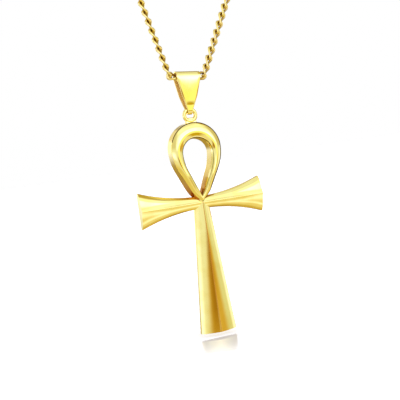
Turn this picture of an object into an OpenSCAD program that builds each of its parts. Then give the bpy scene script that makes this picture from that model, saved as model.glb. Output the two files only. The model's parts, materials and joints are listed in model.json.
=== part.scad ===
/* [Cross arms] */
// Width of the ankh across both arms
arm_span = 33; // [30:0.5:36]
// Height of an arm at its tip
arm_tip_h = 9.3; // [8.5:0.1:10]
// Height of the arms where they cross the shaft
arm_waist_h = 3.2; // [2.8:0.1:3.8]
// Thickness at the ridge of an arm's tip
arm_tip_t = 3.0; // [2.7:0.1:3.2]

/* [Shaft] */
// Length of the shaft below the crossing
shaft_len = 33.5; // [30:0.5:38]
// Width of the shaft's foot
foot_w = 9.6; // [8.8:0.1:10.4]
// Width of the shaft where it leaves the crossing
shaft_neck_w = 3.8; // [3.4:0.1:4.2]
// Thickness at the ridge of the foot
foot_t = 2.8; // [2.6:0.1:3.0]

/* [Ridges] */
// Thickness at the ridges where they cross
crossing_t = 2.0; // [1.9:0.05:2.1]
// Thickness of the metal along the outer edges
edge_t = 0.97; // [0.9:0.01:1.05]
// Radius of the hollow in each flank of a ridge
hollow_r = 12; // [11:0.5:16]

/* [Loop] */
// Outer width of the loop
loop_w = 13.3; // [12.8:0.1:13.8]
// Height of the loop's top above the crossing
loop_top = 20.4; // [20:0.1:21]
// Width of the hole in the loop
hole_w = 7.6; // [7:0.1:8]
// Height of the hole's top above the crossing
hole_top = 16.4; // [16:0.1:17]
// Thickness of the loop at its crown
loop_t = 3.2; // [2.9:0.1:3.4]
// Thickness of the loop at its outer crease
crease_t = 2.6; // [2.3:0.1:2.8]

/* [Eye] */
// Outer diameter of the ring soldered on the loop
eye_d = 3.98; // [3.9:0.02:4.1]
// Thickness of the ring's wire
eye_wire = 0.88; // [0.8:0.02:0.92]

/* [Bail] */
// Distance from the hanging ring's wire up to the middle of the barrel
bail_reach = 7.9; // [7.5:0.1:8.5]
// Outer diameter of the rolled barrel
barrel_d = 3.3; // [3.2:0.05:3.6]
// Thickness of the folded strip
strip_t = 0.42; // [0.36:0.01:0.44]
// Outer diameter of the fold that carries the ring
fold_d = 2.14; // [2.1:0.02:2.2]
// Lean of the bail to the right, in degrees
bail_lean = 4; // [0:1:5]

/* [Chain] */
// Width of the chain
chain_d = 1.8; // [1.6:0.1:1.9]
// Angle of the left strand from upright, in degrees
left_angle = 14; // [13:0.5:15]
// Angle of the right strand from upright, in degrees
right_angle = 26; // [25:0.5:27]
// Radius in which the chain turns up beside the bail
turn_r = 1.2; // [1.1:0.1:1.5]

/* [Clasp] */
// Length of the clasp
clasp_len = 11; // [10:0.5:12]
// Diameter of the rings at the chain's ends
ring_d = 4.2; // [4:0.1:4.6]
// Thickness of those rings' wire
ring_wire = 0.8; // [0.7:0.05:0.9]

/* [Hidden] */
gold = [0.93, 0.76, 0.33];

// The origin is at the nape, and the ankh hangs below and in front of it.
crossing_place = [-16, -114.5, -160.5];
// The eye, the bail and the strands beside it lie in one upright plane, this far in front of the ankh's back.
hang_depth = 1.2;
eye_r = (eye_d - eye_wire) / 2;
eye_height = loop_top + 1.9;
hinge_height = eye_height + eye_r;
hinge_place = crossing_place + [0, -hang_depth, hinge_height];
barrel_place = hinge_place + bail_reach * [sin(bail_lean), 0, cos(bail_lean)];

// Length of the chain's straight strands beside the bail.
left_straight = 60;
right_straight = 62;
// The rest of each half's way, back over the shoulders to the nape.
left_route = [
    [-37.5, -115, -56.5], [-40.5, -111, -45.5], [-43.5, -104.5, -35.5], [-46, -95.5, -28],
    [-49, -85, -23], [-52, -74, -20], [-54.5, -62.5, -16.5], [-55.5, -51, -13.5], [-53.5, -39.5, -10.5],
    [-49, -28.5, -7.5], [-42.5, -19, -5], [-33.5, -11, -3], [-22, -4.5, -1], [-8, -0.4, 0]];
right_route = [
    [21.5, -115.5, -61], [26.5, -113, -50.5], [32, -108.5, -41], [37, -101.5, -32.5],
    [42.5, -93, -26.5], [48, -83, -22], [53, -72.5, -19.5], [55.5, -61, -16.5], [56, -49.5, -13.5],
    [54, -38, -10], [49, -27.5, -7.5], [42.5, -18, -5], [33.5, -10, -2.5], [22, -3.5, -1], [7.8, -0.4, 0]];

function unit(v) = v / norm(v);

// Ankh

// A ridge's flank is part of a wide cylinder that meets the ridge at this slope, so that it ends
// at the edge's thickness at the member's wide end.
function flank_slope(half_w, ridge) =
    let (drop = ridge - edge_t, chord = norm([half_w, drop]))
    atan(drop / half_w) + asin(chord / (2 * hollow_r));

// Cuts both hollow flanks of a member that runs along X, with its ridge rising from the crossing.
module hollow_flanks(length, half_w, ridge) {
    slope = flank_slope(half_w, ridge);
    rise = atan((ridge - crossing_t) / length);
    margin = 4;
    for (side = [-1, 1])
        translate([0, 0, crossing_t])
            rotate([0, -rise, 0])
                translate([-margin, side * hollow_r * sin(slope), hollow_r * cos(slope)])
                    rotate([0, 90, 0])
                        cylinder(r = hollow_r, h = length + 2 * margin, $fn = 96);
}

module arm() {
    length = arm_span / 2;
    half_tip = arm_tip_h / 2;
    flare = (arm_tip_h - arm_waist_h) / 2;
    flare_r = (length * length + flare * flare) / (2 * flare);
    difference() {
        linear_extrude(height = arm_tip_t + 0.5)
            difference() {
                translate([0, -half_tip])
                    square([length, arm_tip_h]);
                for (side = [-1, 1])
                    translate([0, side * (arm_waist_h / 2 + flare_r)])
                        circle(r = flare_r, $fn = 180);
            }
        hollow_flanks(length, half_tip, arm_tip_t);
    }
}

module shaft() {
    // The shaft starts a little above the crossing, inside the loop's root.
    start = -0.8;
    taper = (foot_w - shaft_neck_w) / 2 / shaft_len;
    start_half = shaft_neck_w / 2 + start * taper;
    difference() {
        linear_extrude(height = foot_t + 0.5)
            polygon([
                [start, -start_half], [shaft_len, -foot_w / 2],
                [shaft_len, foot_w / 2], [start, start_half]]);
        hollow_flanks(shaft_len, foot_w / 2, foot_t);
    }
}

// Each half of an outline of the loop is a straight strand, a wide arc and a quarter of a circle.
outer_side_r = 11.6;
outer_lean = 27.5;
hole_side_r = 10.9;
hole_lean = 25;
arc_steps = 5;
crown_steps = 8;

function side_arc(half_w, top, side_r, lean) = [
    for (i = [0 : arc_steps - 1])
        let (a = lean * (1 - i / arc_steps))
        [half_w - side_r * (1 - cos(a)), top - half_w - side_r * sin(a)]];
function crown_arc(half_w, top) = [
    for (i = [0 : crown_steps])
        let (a = 90 * i / crown_steps)
        [half_w * cos(a), top - half_w + half_w * sin(a)]];
function strand(foot, head, count) = [
    for (i = [0 : count - 1]) foot + (head - foot) * i / count];

// The strands' outer edges curl in over the crossing.
outer_side = side_arc(loop_w / 2, loop_top, outer_side_r, outer_lean);
hole_side = side_arc(hole_w / 2, hole_top, hole_side_r, hole_lean);
strand_foot = outer_side[0] - (outer_side[0][1] - 2.9) * [tan(outer_lean), 1];
curl = [[0, 0.7], [0.9, 0.95], [1.8, 1.75]];
hole_foot = [0, hole_side[0][1] - hole_side[0][0] / tan(hole_lean)];
strand_steps = 4;
outer_half = concat(
    curl, strand(strand_foot, outer_side[0], strand_steps), outer_side,
    crown_arc(loop_w / 2, loop_top));
hole_half = concat(
    strand(hole_foot, hole_side[0], len(curl) + strand_steps), hole_side,
    crown_arc(hole_w / 2, hole_top));

// Cross section of the band between an outer and an inner point: the width runs from 0 at the
// outside to 1 at the hole, and the side walls spread towards the back.
draft = 0.15;
crown_points = 6;
function band_section(outer, inner, root) =
    let (
        across = unit(inner - outer),
        low = crease_t - 0.35 * root,
        high = loop_t - 0.75 * root)
    concat(
        [[outer[0] - draft * across[0], outer[1] - draft * across[1], 0.05]],
        [for (k = [0 : crown_points])
            let (
                v = k / crown_points,
                p = outer + v * (inner - outer),
                depth = low + (high - low) * pow(sin(180 * v), 0.8) + 0.15 * v * (1 - root))
            [p[0], p[1], depth]],
        [[inner[0] + draft * across[0] * (1 - root), inner[1] + draft * across[1] * (1 - root), 0.05]]);

// How far a station lies down towards the root of the strands, from 0 above to 1 at the crossing.
function root_share(height) = max(0, min(1, (7 - height) / 6));

function mirrored(p) = [-p[0], p[1], p[2]];

module loop() {
    count = len(outer_half);
    right = [for (i = [0 : count - 1]) band_section(outer_half[i], hole_half[i], root_share(outer_half[i][1]))];
    left = [for (i = [count - 2 : -1 : 1]) [for (p = right[i]) mirrored(p)]];
    ring = concat(right, left);
    n = len(ring);
    m = len(ring[0]);
    polyhedron(
        points = [for (section = ring) for (p = section) p],
        faces = [
            for (i = [0 : n - 1]) for (k = [0 : m - 1])
                let (a = i * m + k, b = i * m + (k + 1) % m, j = ((i + 1) % n) * m)
                for (t = [0, 1])
                    t == 0 ? [a, b, j + k] : [b, j + (k + 1) % m, j + k]]);
}

module eye() {
    translate([0, eye_height, hang_depth])
        rotate_extrude($fn = 64)
            translate([eye_r, 0])
                circle(d = eye_wire, $fn = 32);
    // Solder that joins the ring to the loop.
    translate([-1.3, loop_top - 0.9, hang_depth - 0.4])
        cube([2.6, 1.1, 0.8]);
}

module ankh_cross() {
    color(gold)
        translate(crossing_place)
            rotate([90, 0, 0])
                union() {
                    arm();
                    mirror([1, 0, 0]) arm();
                    rotate([0, 0, -90]) shaft();
                    loop();
                    eye();
                }
}

// Bail

// Height above the ring's wire and half the strip's depth outside, from the fold to the barrel.
bail_depths = [
    [0, fold_d / 2], [1.5, fold_d / 2 + 0.02], [2.4, 1.4], [3.6, 1.58], [bail_reach, barrel_d / 2]];
// Height above the ring's wire and half the width of the strip.
bail_widths = [
    [-1.2, 0.5], [-0.3, 0.5], [0.5, 1.08], [1.5, 1.2], [4, 2.15], [6.2, 2.8], [8.2, 3.15], [9.7, 3.25]];

// The outline given by heights and half sizes, both sides of its middle.
module paired(rows, less) {
    polygon(concat(
        [for (r = rows) [r[1] - less, r[0]]],
        [for (i = [len(rows) - 1 : -1 : 0]) [less - rows[i][1], rows[i][0]]]));
}

module bail_profile(less) {
    circle(d = fold_d - 2 * less, $fn = 64);
    translate([0, bail_reach])
        circle(d = barrel_d - 2 * less, $fn = 96);
    paired(bail_depths, less);
}

module bail() {
    half_w = 4;
    color(gold)
        translate(hinge_place)
            rotate([0, bail_lean, 0])
                intersection() {
                    translate([-half_w, 0, 0])
                        rotate([90, 0, 90])
                            linear_extrude(height = 2 * half_w)
                                difference() {
                                    bail_profile(0);
                                    bail_profile(strip_t);
                                }
                    translate([0, barrel_d, 0])
                        rotate([90, 0, 0])
                            linear_extrude(height = 2 * barrel_d)
                                paired(bail_widths, 0);
                }
}

// Chain

// Points of a turn in the bail's upright plane, from a heading in degrees, along the way.
function turn(start, heading, angle, steps) =
    let (
        side = sign(angle),
        middle = start + turn_r * side * [-sin(heading), 0, cos(heading)])
    [for (i = [1 : steps])
        let (a = heading + angle * i / steps)
        middle - turn_r * side * [-sin(a), 0, cos(a)]];

// A smooth curve through the points, with one more point halfway along each span.
function halfway(p, i) =
    let (before = p[max(i - 1, 0)], after = p[min(i + 2, len(p) - 1)])
    (9 * (p[i] + p[i + 1]) - before - after) / 16;
function smoothed(p) = [
    for (i = [0 : len(p) - 1]) each (i < len(p) - 1 ? [p[i], halfway(p, i)] : [p[i]])];

// The straight stretch inside the barrel ends just outside its mouth.
mouth = 3.3;
turn_steps = 6;
function half_chain(heading, end_heading, straight, route) =
    let (
        mouth_end = barrel_place + mouth * [cos(heading), 0, sin(heading)],
        bend = turn(mouth_end, heading, end_heading - heading, turn_steps),
        strand_end = bend[turn_steps - 1] + straight * [cos(end_heading), 0, sin(end_heading)])
    concat([barrel_place, mouth_end], bend, smoothed(concat([strand_end], route)));

left_points = half_chain(180 - bail_lean, 90 + left_angle, left_straight, left_route);
right_points = half_chain(-bail_lean, 90 - right_angle, right_straight, right_route);

// Directions along a line of points, and a normal carried along it without twist.
function headings(p) = [
    for (i = [0 : len(p) - 1])
        unit(p[min(i + 1, len(p) - 1)] - p[max(i - 1, 0)])];
function carried(dirs, normal, i = 0) =
    i == len(dirs) ? [] :
    let (next = unit(normal - (normal * dirs[i]) * dirs[i]))
    concat([next], carried(dirs, next, i + 1));

chain_sides = 8;
module swept_tube(p) {
    dirs = headings(p);
    normals = carried(dirs, [0, 1, 0]);
    n = len(p);
    m = chain_sides;
    polyhedron(
        points = [
            for (i = [0 : n - 1]) for (k = [0 : m - 1])
                let (a = 360 * (k + 0.5) / m)
                p[i] + chain_d / 2 * (cos(a) * normals[i] + sin(a) * cross(dirs[i], normals[i]))],
        faces = concat(
            [[for (k = [0 : m - 1]) k]],
            [for (i = [0 : n - 2]) for (k = [0 : m - 1])
                let (a = i * m + k, b = i * m + (k + 1) % m)
                for (t = [0, 1])
                    t == 0 ? [a, a + m, b] : [b, a + m, b + m]],
            [[for (k = [m - 1 : -1 : 0]) (n - 1) * m + k]]));
}

module chain_left() {
    color(gold) swept_tube(left_points);
}

module chain_right() {
    color(gold) swept_tube(right_points);
}

// Clasp

// The clasp lies along X behind the nape's middle, with a small eye on the left and a closed
// claw on the right.
clasp_h = 4.6;
clasp_t = 1.8;
tail_t = 1.2;
tail_r = 1.5;
tail_hole_r = 0.8;
claw_hole_r = 1.45;
tail_x = -clasp_len / 2 + tail_r;
claw_x = clasp_len / 2 - clasp_h / 2;
ring_r = (ring_d - ring_wire) / 2;

module clasp() {
    color(gold)
        rotate([90, 0, 0])
            difference() {
                union() {
                    translate([tail_x, 0, -tail_t / 2])
                        cylinder(r = tail_r, h = tail_t, $fn = 48);
                    translate([tail_x, -1, -tail_t / 2])
                        cube([claw_x - tail_x, 2, tail_t]);
                    translate([0, 0, -clasp_t / 2])
                        linear_extrude(height = clasp_t)
                            polygon([[tail_x + 1.6, -1.1], [claw_x, -clasp_h / 2],
                                [claw_x, clasp_h / 2], [tail_x + 1.6, 1.1]]);
                    translate([claw_x, 0, -clasp_t / 2])
                        cylinder(d = clasp_h, h = clasp_t, $fn = 64);
                }
                translate([tail_x, 0, -clasp_t])
                    cylinder(r = tail_hole_r, h = 2 * clasp_t, $fn = 32);
                translate([claw_x, 0, -clasp_t])
                    cylinder(r = claw_hole_r, h = 2 * clasp_t, $fn = 48);
            }
}

// A level ring threaded through an eye of the clasp.
module end_ring(place) {
    color(gold)
        translate([place, 0, 0])
            rotate_extrude($fn = 64)
                translate([ring_r, 0])
                    circle(d = ring_wire, $fn = 24);
}

module end_ring_left() {
    end_ring(tail_x - ring_r);
}

module end_ring_right() {
    end_ring(claw_x + 0.6 + ring_r);
}

ankh_cross();
bail();
chain_left();
chain_right();
clasp();
end_ring_left();
end_ring_right();
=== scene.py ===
"""An ankh pendant on a curb chain: its surfaces, finish, light and camera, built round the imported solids."""

import contextlib
import json
import math

import bmesh
import bpy
from bpy.props import FloatProperty, FloatVectorProperty, PointerProperty
from mathutils import Matrix, Vector


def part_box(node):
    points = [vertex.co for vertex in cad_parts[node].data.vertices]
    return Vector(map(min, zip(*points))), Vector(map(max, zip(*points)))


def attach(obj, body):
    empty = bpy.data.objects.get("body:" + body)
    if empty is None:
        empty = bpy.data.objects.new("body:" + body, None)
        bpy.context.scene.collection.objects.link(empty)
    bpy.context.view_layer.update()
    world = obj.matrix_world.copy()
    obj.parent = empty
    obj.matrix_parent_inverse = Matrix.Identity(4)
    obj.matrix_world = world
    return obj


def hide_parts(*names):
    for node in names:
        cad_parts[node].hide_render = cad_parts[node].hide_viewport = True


bl_info = {
    "name": "Ankh Pendant",
    "version": (1, 0, 0),
    "blender": (4, 5, 0),
    "location": "View3D > Sidebar > Pendant",
    "description": "Models an ankh pendant, its bail and its curb chain, with a studio to photograph it in",
    "category": "Object",
}

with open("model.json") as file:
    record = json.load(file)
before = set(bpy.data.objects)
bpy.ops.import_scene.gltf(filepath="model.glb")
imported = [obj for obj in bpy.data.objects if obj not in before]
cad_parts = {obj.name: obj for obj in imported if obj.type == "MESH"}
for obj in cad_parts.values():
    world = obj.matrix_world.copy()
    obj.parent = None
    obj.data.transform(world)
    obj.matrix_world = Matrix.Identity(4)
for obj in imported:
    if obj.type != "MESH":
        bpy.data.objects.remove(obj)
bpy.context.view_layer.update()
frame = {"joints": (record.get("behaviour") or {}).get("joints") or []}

MM = 0.001

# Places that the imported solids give
ankh_low, ankh_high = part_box("ankh_cross")
joints = {joint["name"]: joint for joint in frame["joints"]}
hinge_place = Vector(joints["ankh_swing"]["pos_m"])
barrel_place = Vector(joints["bail_swing"]["pos_m"])
bail_axis = Vector(joints["bail_swing"]["axis"])
bail_lean = math.atan2(-bail_axis.z, bail_axis.x)
bail_reach = (barrel_place - hinge_place).length
clasp_low, clasp_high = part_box("clasp")
ring_boxes = {side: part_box(f"end_ring_{side}") for side in ("left", "right")}

# How far a piece that fills its solid's width stays inside it
INSET = 0.01 * MM


def size(name, default, description, low=0.0):
    """A length that a user can change, in metres."""
    settings = {"precision": 5, "unit": "LENGTH", "subtype": "DISTANCE"}
    return FloatProperty(name=name, description=description, default=default, min=low, **settings)


def turn_angle(name, default, description):
    """An angle that a user can change, shown in degrees."""
    return FloatProperty(name=name, description=description, default=math.radians(default), subtype="ANGLE")


def share(name, default, description):
    """A number from 0 to 1 that a user can change."""
    return FloatProperty(name=name, description=description, default=default, min=0, max=1, subtype="FACTOR")


def colour(name, default, description):
    """A colour that a user can change."""
    return FloatVectorProperty(
        name=name, description=description, default=default, size=3, min=0.0, max=1.0, subtype="COLOR"
    )


class AnkhSizes(bpy.types.PropertyGroup):
    """Sizes of the ankh."""

    arm_span: size("Arm span", ankh_high.x - ankh_low.x, "Width across both arms")
    arm_tip_h: size("Arm tip height", 9.3 * MM, "Height of an arm at its tip")
    arm_waist_h: size("Arm waist", 3.2 * MM, "Height of the arms where they cross the shaft")
    arm_tip_t: size("Arm tip ridge", 3.0 * MM, "Thickness at the ridge of an arm's tip")
    shaft_len: size("Shaft length", 33.5 * MM, "Length of the shaft below the crossing")
    foot_w: size("Foot width", 9.6 * MM, "Width of the shaft's foot")
    shaft_neck_w: size("Shaft neck", 3.8 * MM, "Width of the shaft where it leaves the crossing")
    foot_t: size("Foot ridge", 2.8 * MM, "Thickness at the ridge of the foot")
    crossing_t: size("Crossing ridge", 2.0 * MM, "Thickness at the ridges where they cross")
    edge_t: size("Edge", 0.97 * MM, "Thickness of the metal along the outer edges")
    loop_w: size("Loop width", 13.3 * MM, "Outer width of the loop")
    loop_top: size("Loop top", 20.4 * MM, "Height of the loop's top above the crossing")
    hole_w: size("Hole width", 7.6 * MM, "Width of the hole in the loop")
    hole_top: size("Hole top", 16.4 * MM, "Height of the hole's top above the crossing")
    crease_t: size("Loop crease", 2.6 * MM, "Thickness of the loop at its outer crease")
    crown_t: size("Loop crown", 3.25 * MM, "Thickness of the loop at the middle of its crown")
    rim_t: size("Loop rim", 3.0 * MM, "Thickness of the loop where the rim of its hole begins")
    eye_d: size("Eye diameter", 3.98 * MM, "Outer diameter of the ring soldered on the loop")
    eye_wire: size("Eye wire", 1.0 * MM, "Thickness of that ring's wire")
    arm_shoulder: size("Arm shoulder", 2.2 * MM, "Width of the rounding between an arm's flank and its edge")
    shaft_shoulder: size("Shaft shoulder", 1.3 * MM, "Width of the rounding between its flank and its edge")
    flank_fall: share("Flank fall", 0.8, "Slope of a flank as a share of the slope from crest to edge")
    arm_pinch: share("Arm pinch", 0.35, "How much an arm's flanks steepen towards their crest")
    shaft_round: share("Shaft rounding", 0.35, "How much the shaft's flanks flatten towards their crest")


class BailSizes(bpy.types.PropertyGroup):
    """Sizes of the bail."""

    barrel_d: size("Barrel", 3.3 * MM, "Outer diameter of the rolled barrel")
    fold_d: size("Fold", 2.14 * MM, "Outer diameter of the fold that carries the ankh's ring")
    slack: size("Slack", 0.35 * MM, "How far the fold hangs below the wire of the ankh's ring")
    strip_t: size("Strip", 0.42 * MM, "Thickness of the folded strip")
    bow: size("Bow", 0.08 * MM, "How far the middle of the front leaf stands out from its sides")


class ChainSizes(bpy.types.PropertyGroup):
    """Sizes of the chain, its end rings and its clasp."""

    wire: size("Wire", 0.75 * MM, "Thickness of a link's wire")
    link_w: size("Link width", 2.36 * MM, "Outer width of a link")
    pitch: size("Pitch", 2.37 * MM, "Length that a link adds to the chain")
    link_twist: turn_angle("Link twist", -145, "How far a link is twisted from end to end")
    left_roll: turn_angle("Left roll", 65, "Turn of the left half's links about the chain")
    right_roll: turn_angle("Right roll", 50, "Turn of the right half's links about the chain")
    left_end_roll: turn_angle("Left end roll", 127, "Turn of the link that hangs in the left end ring")
    right_end_roll: turn_angle("Right end roll", 108, "Turn of the link that hangs in the right end ring")
    ring_wire: size("Ring wire", 0.8 * MM, "Thickness of an end ring's wire")
    clasp_t: size("Clasp", 1.8 * MM, "Thickness of the clasp's body")
    tail_t: size("Clasp tail", 1.2 * MM, "Thickness of the clasp's tail")
    left_angle: turn_angle("Left strand", 14, "Angle of the left strand from upright")
    right_angle: turn_angle("Right strand", 26, "Angle of the right strand from upright")


class GoldLook(bpy.types.PropertyGroup):
    """Colours and finish of the metal, and the colours of the shade and reflection painted on it."""

    gold: colour("Gold", (0.91, 0.76, 0.23), "Colour of the polished gold")
    gold_deep: colour("Deep gold", (0.88, 0.71, 0.19), "Colour of its warmer clouds")
    wire_gold: colour("Chain gold", (0.88, 0.70, 0.24), "Colour of the chain's wire")
    # The chain's shade colour is painted shade inside each link, with some dark polish left there too
    wire_dark: colour("Chain shade", (0.42, 0.25, 0.03), "Colour of the dark polish inside the links")
    wall: colour("Wall", (0.92, 0.74, 0.28), "Colour of the loop's walls at its top")
    # The deep wall colour is painted shade near the crossing, and a painted reflection line along the shaft's
    # crest
    wall_shade_and_reflection: colour("Wall shade", (0.52, 0.20, 0.02), "Colour of the shade painted on the walls near the crossing and of the line painted on the shaft's crest")
    lining: colour("Lining", (0.78, 0.50, 0.12), "Colour of the bail's inner side")
    # The crease colour is painted shade, in the loop's grooves and along the arms' edges
    crease: colour("Crease", (0.16, 0.09, 0.01), "Colour of the shade painted in the creases and along the edges")
    polish: share("Polish", 0.05, "Roughness of the polished metal")
    wall_polish: share("Wall polish", 0.16, "Roughness of the walls")
    wire_polish: share("Chain polish", 0.12, "Roughness of the chain")


class StudioLook(bpy.types.PropertyGroup):
    """Light, floor and camera."""

    azimuth: turn_angle("Azimuth", -20.1, "Where the camera stands round the pendant")
    elevation: turn_angle("Elevation", 3.3, "How far the camera looks down")
    roll: turn_angle("Roll", -7.87, "How far the camera is tilted")
    distance: size("Distance", 200 * MM, "Distance from the crossing to the camera")
    shift_right: size("Shift right", -0.058 * MM, "Camera's place to the right of the crossing", low=-1.0)
    shift_up: size("Shift up", 0.561 * MM, "Camera's place above the crossing")
    floor_gap: size("Floor gap", 0.95 * MM, "Height of the pendant's foot above the floor")


# Selecting and shaping in edit mode


def only(piece):
    """Makes one piece active and selects nothing else."""
    bpy.ops.object.select_all(action="DESELECT")
    piece.select_set(True)
    bpy.context.view_layer.objects.active = piece


@contextlib.contextmanager
def shaping(piece, kind="VERT"):
    """Edit mode on one piece, with nothing selected to begin with."""
    only(piece)
    bpy.ops.object.mode_set(mode="EDIT")
    bpy.ops.mesh.select_mode(type=kind)
    bpy.ops.mesh.select_all(action="DESELECT")
    yield
    bpy.ops.object.mode_set(mode="OBJECT")


def pick(piece, elements, wanted):
    """Selects the vertices, edges or faces that are wanted, and nothing else."""
    bpy.ops.mesh.select_all(action="DESELECT")
    mesh = bmesh.from_edit_mesh(piece.data)
    found = [element for element in getattr(mesh, elements) if wanted(element)]
    if not found:
        raise RuntimeError(f"no {elements} found to work on in {piece.name}")
    for element in found:
        element.select_set(True)
    mesh.select_flush_mode()
    bmesh.update_edit_mesh(piece.data)


def corner(piece, index):
    """Where one of the vertices of a piece in edit mode is."""
    verts = bmesh.from_edit_mesh(piece.data).verts
    verts.ensure_lookup_table()
    return verts[index].co.copy()


def turn(angle, axis, centre=(0, 0, 0)):
    """Turns what is selected, anticlockwise seen from the axis's far end."""
    # A positive value would turn it clockwise
    bpy.ops.transform.rotate(value=-angle, orient_axis=axis, center_override=centre)


def apply(piece, kind, **settings):
    """Adds a modifier to a piece and applies it."""
    only(piece)
    modifier = piece.modifiers.new(kind.title(), kind)
    for key, value in settings.items():
        setattr(modifier, key, value)
    bpy.ops.object.modifier_apply(modifier=modifier.name)
    return piece


def named(name):
    """The object that an operator has just added, with its name."""
    piece = bpy.context.object
    piece.name = name
    piece.data.name = name
    return piece


def joined(name, pieces):
    """One mesh of several."""
    bpy.ops.object.select_all(action="DESELECT")
    for piece in pieces:
        piece.select_set(True)
    bpy.context.view_layer.objects.active = pieces[0]
    bpy.ops.object.join()
    return named(name)


def fused(name, pieces):
    """One solid of several that overlap."""
    body, *others = pieces
    for other in others:
        apply(body, "BOOLEAN", operation="UNION", solver="EXACT", object=other)
        bpy.data.objects.remove(other)
    with shaping(body, "EDGE"):
        bpy.ops.mesh.select_all(action="SELECT")
        bpy.ops.mesh.remove_doubles(threshold=0.0005 * MM)
        if any(edge.is_boundary for edge in bmesh.from_edit_mesh(body.data).edges):
            raise RuntimeError(f"{name} has come out open")
    only(body)
    return named(name)


def softened(piece, width, segments, sharper_than, wanted=lambda edge: True):
    """Rounds the edges that are sharper than an angle."""
    with shaping(piece, "EDGE"):
        pick(
            piece,
            "edges",
            lambda edge: len(edge.link_faces) == 2 and edge.calc_face_angle() > sharper_than and wanted(edge),
        )
        bpy.ops.mesh.bevel(offset=width, segments=segments, affect="EDGES", clamp_overlap=True)
    return piece


def put(piece, place, turns=()):
    """Moves and turns a finished piece to its place, and leaves its object unmoved at the origin."""
    only(piece)
    matrix = Matrix.Identity(4)
    for angle, axis in turns:
        matrix = Matrix.Rotation(angle, 4, axis) @ matrix
    piece.matrix_world = Matrix.Translation(place) @ matrix
    bpy.ops.object.transform_apply(location=True, rotation=True, scale=True)
    return piece


def wire_ring(name, ring_r, wire_r, steps, wire_steps):
    """A ring of round wire, flat in plan, by the radius to the wire's middle and that of the wire."""
    bpy.ops.mesh.primitive_torus_add(
        major_segments=steps, minor_segments=wire_steps, major_radius=ring_r, minor_radius=wire_r
    )
    return named(name)


def block(name, extent, middle=(0, 0, 0)):
    """A block of three lengths about its middle."""
    bpy.ops.mesh.primitive_cube_add(size=1)
    piece = named(name)
    with shaping(piece):
        bpy.ops.mesh.select_all(action="SELECT")
        bpy.ops.transform.resize(value=extent, center_override=(0, 0, 0))
        bpy.ops.transform.translate(value=middle)
    return piece


def smooth(piece, angle):
    """Faces point outwards and shade smoothly, up to an angle between them."""
    with shaping(piece, "FACE"):
        bpy.ops.mesh.select_all(action="SELECT")
        bpy.ops.mesh.remove_doubles(threshold=0.0005 * MM)
        bpy.ops.mesh.normals_make_consistent(inside=False)
    only(piece)
    bpy.ops.object.shade_smooth_by_angle(angle=angle)
    return piece


def sheet(name, rows, columns, rim_rows):
    """A sheet: a row for each (across, depth) point, a column for each (place, turn, width, depth, rim).

    The rows give the section's shape. Each column then takes the section to its width and depth, turns it in
    the plan and carries it to its place, with across 0 on that place. Its rim is the share of the width that
    the rows before the last few give up, so that these grow wider.
    """
    bpy.ops.mesh.primitive_grid_add(x_subdivisions=len(columns) - 1, y_subdivisions=len(rows) - 1, size=1)
    piece = named(name)
    count = len(columns)
    with shaping(piece):
        for k, (across, depth) in enumerate(rows):
            pick(piece, "verts", lambda v: v.index // count == k)
            bpy.ops.transform.translate(value=(0, across - corner(piece, k * count).y, depth))
        for i, (place, angle, width, deep, rim) in enumerate(columns):
            origin = Vector((corner(piece, i).x, 0, 0))
            pick(piece, "verts", lambda v: v.index % count == i and v.index // count < len(rows) - rim_rows)
            bpy.ops.transform.resize(value=(1, 1 - rim, 1), center_override=origin)
            pick(piece, "verts", lambda v: v.index % count == i)
            bpy.ops.transform.resize(value=(1, width, deep), center_override=origin)
            turn(angle, "Z", origin)
            bpy.ops.transform.translate(value=Vector((*place, 0)) - origin)
    return piece


# Ankh

# Slots of the metal on the ankh: polished faces, the walls' metal with its painted shade, and dark lines of
# painted shade
POLISHED, WALL, SHADE_LINE = 0, 1, 2
# The bail's second slot
LINING = 1


def paint(piece, slot, wanted):
    """Puts some of a piece's faces in one of the metal's slots."""
    while len(piece.material_slots) <= SHADE_LINE:
        piece.data.materials.append(None)
    with shaping(piece, "FACE"):
        pick(piece, "faces", wanted)
        piece.active_material_index = slot
        bpy.ops.object.material_slot_assign()


def share_of(distance, whole):
    """A distance as a share of a whole one, kept from 0 to 1."""
    return min(1, max(0, distance / whole))


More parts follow.
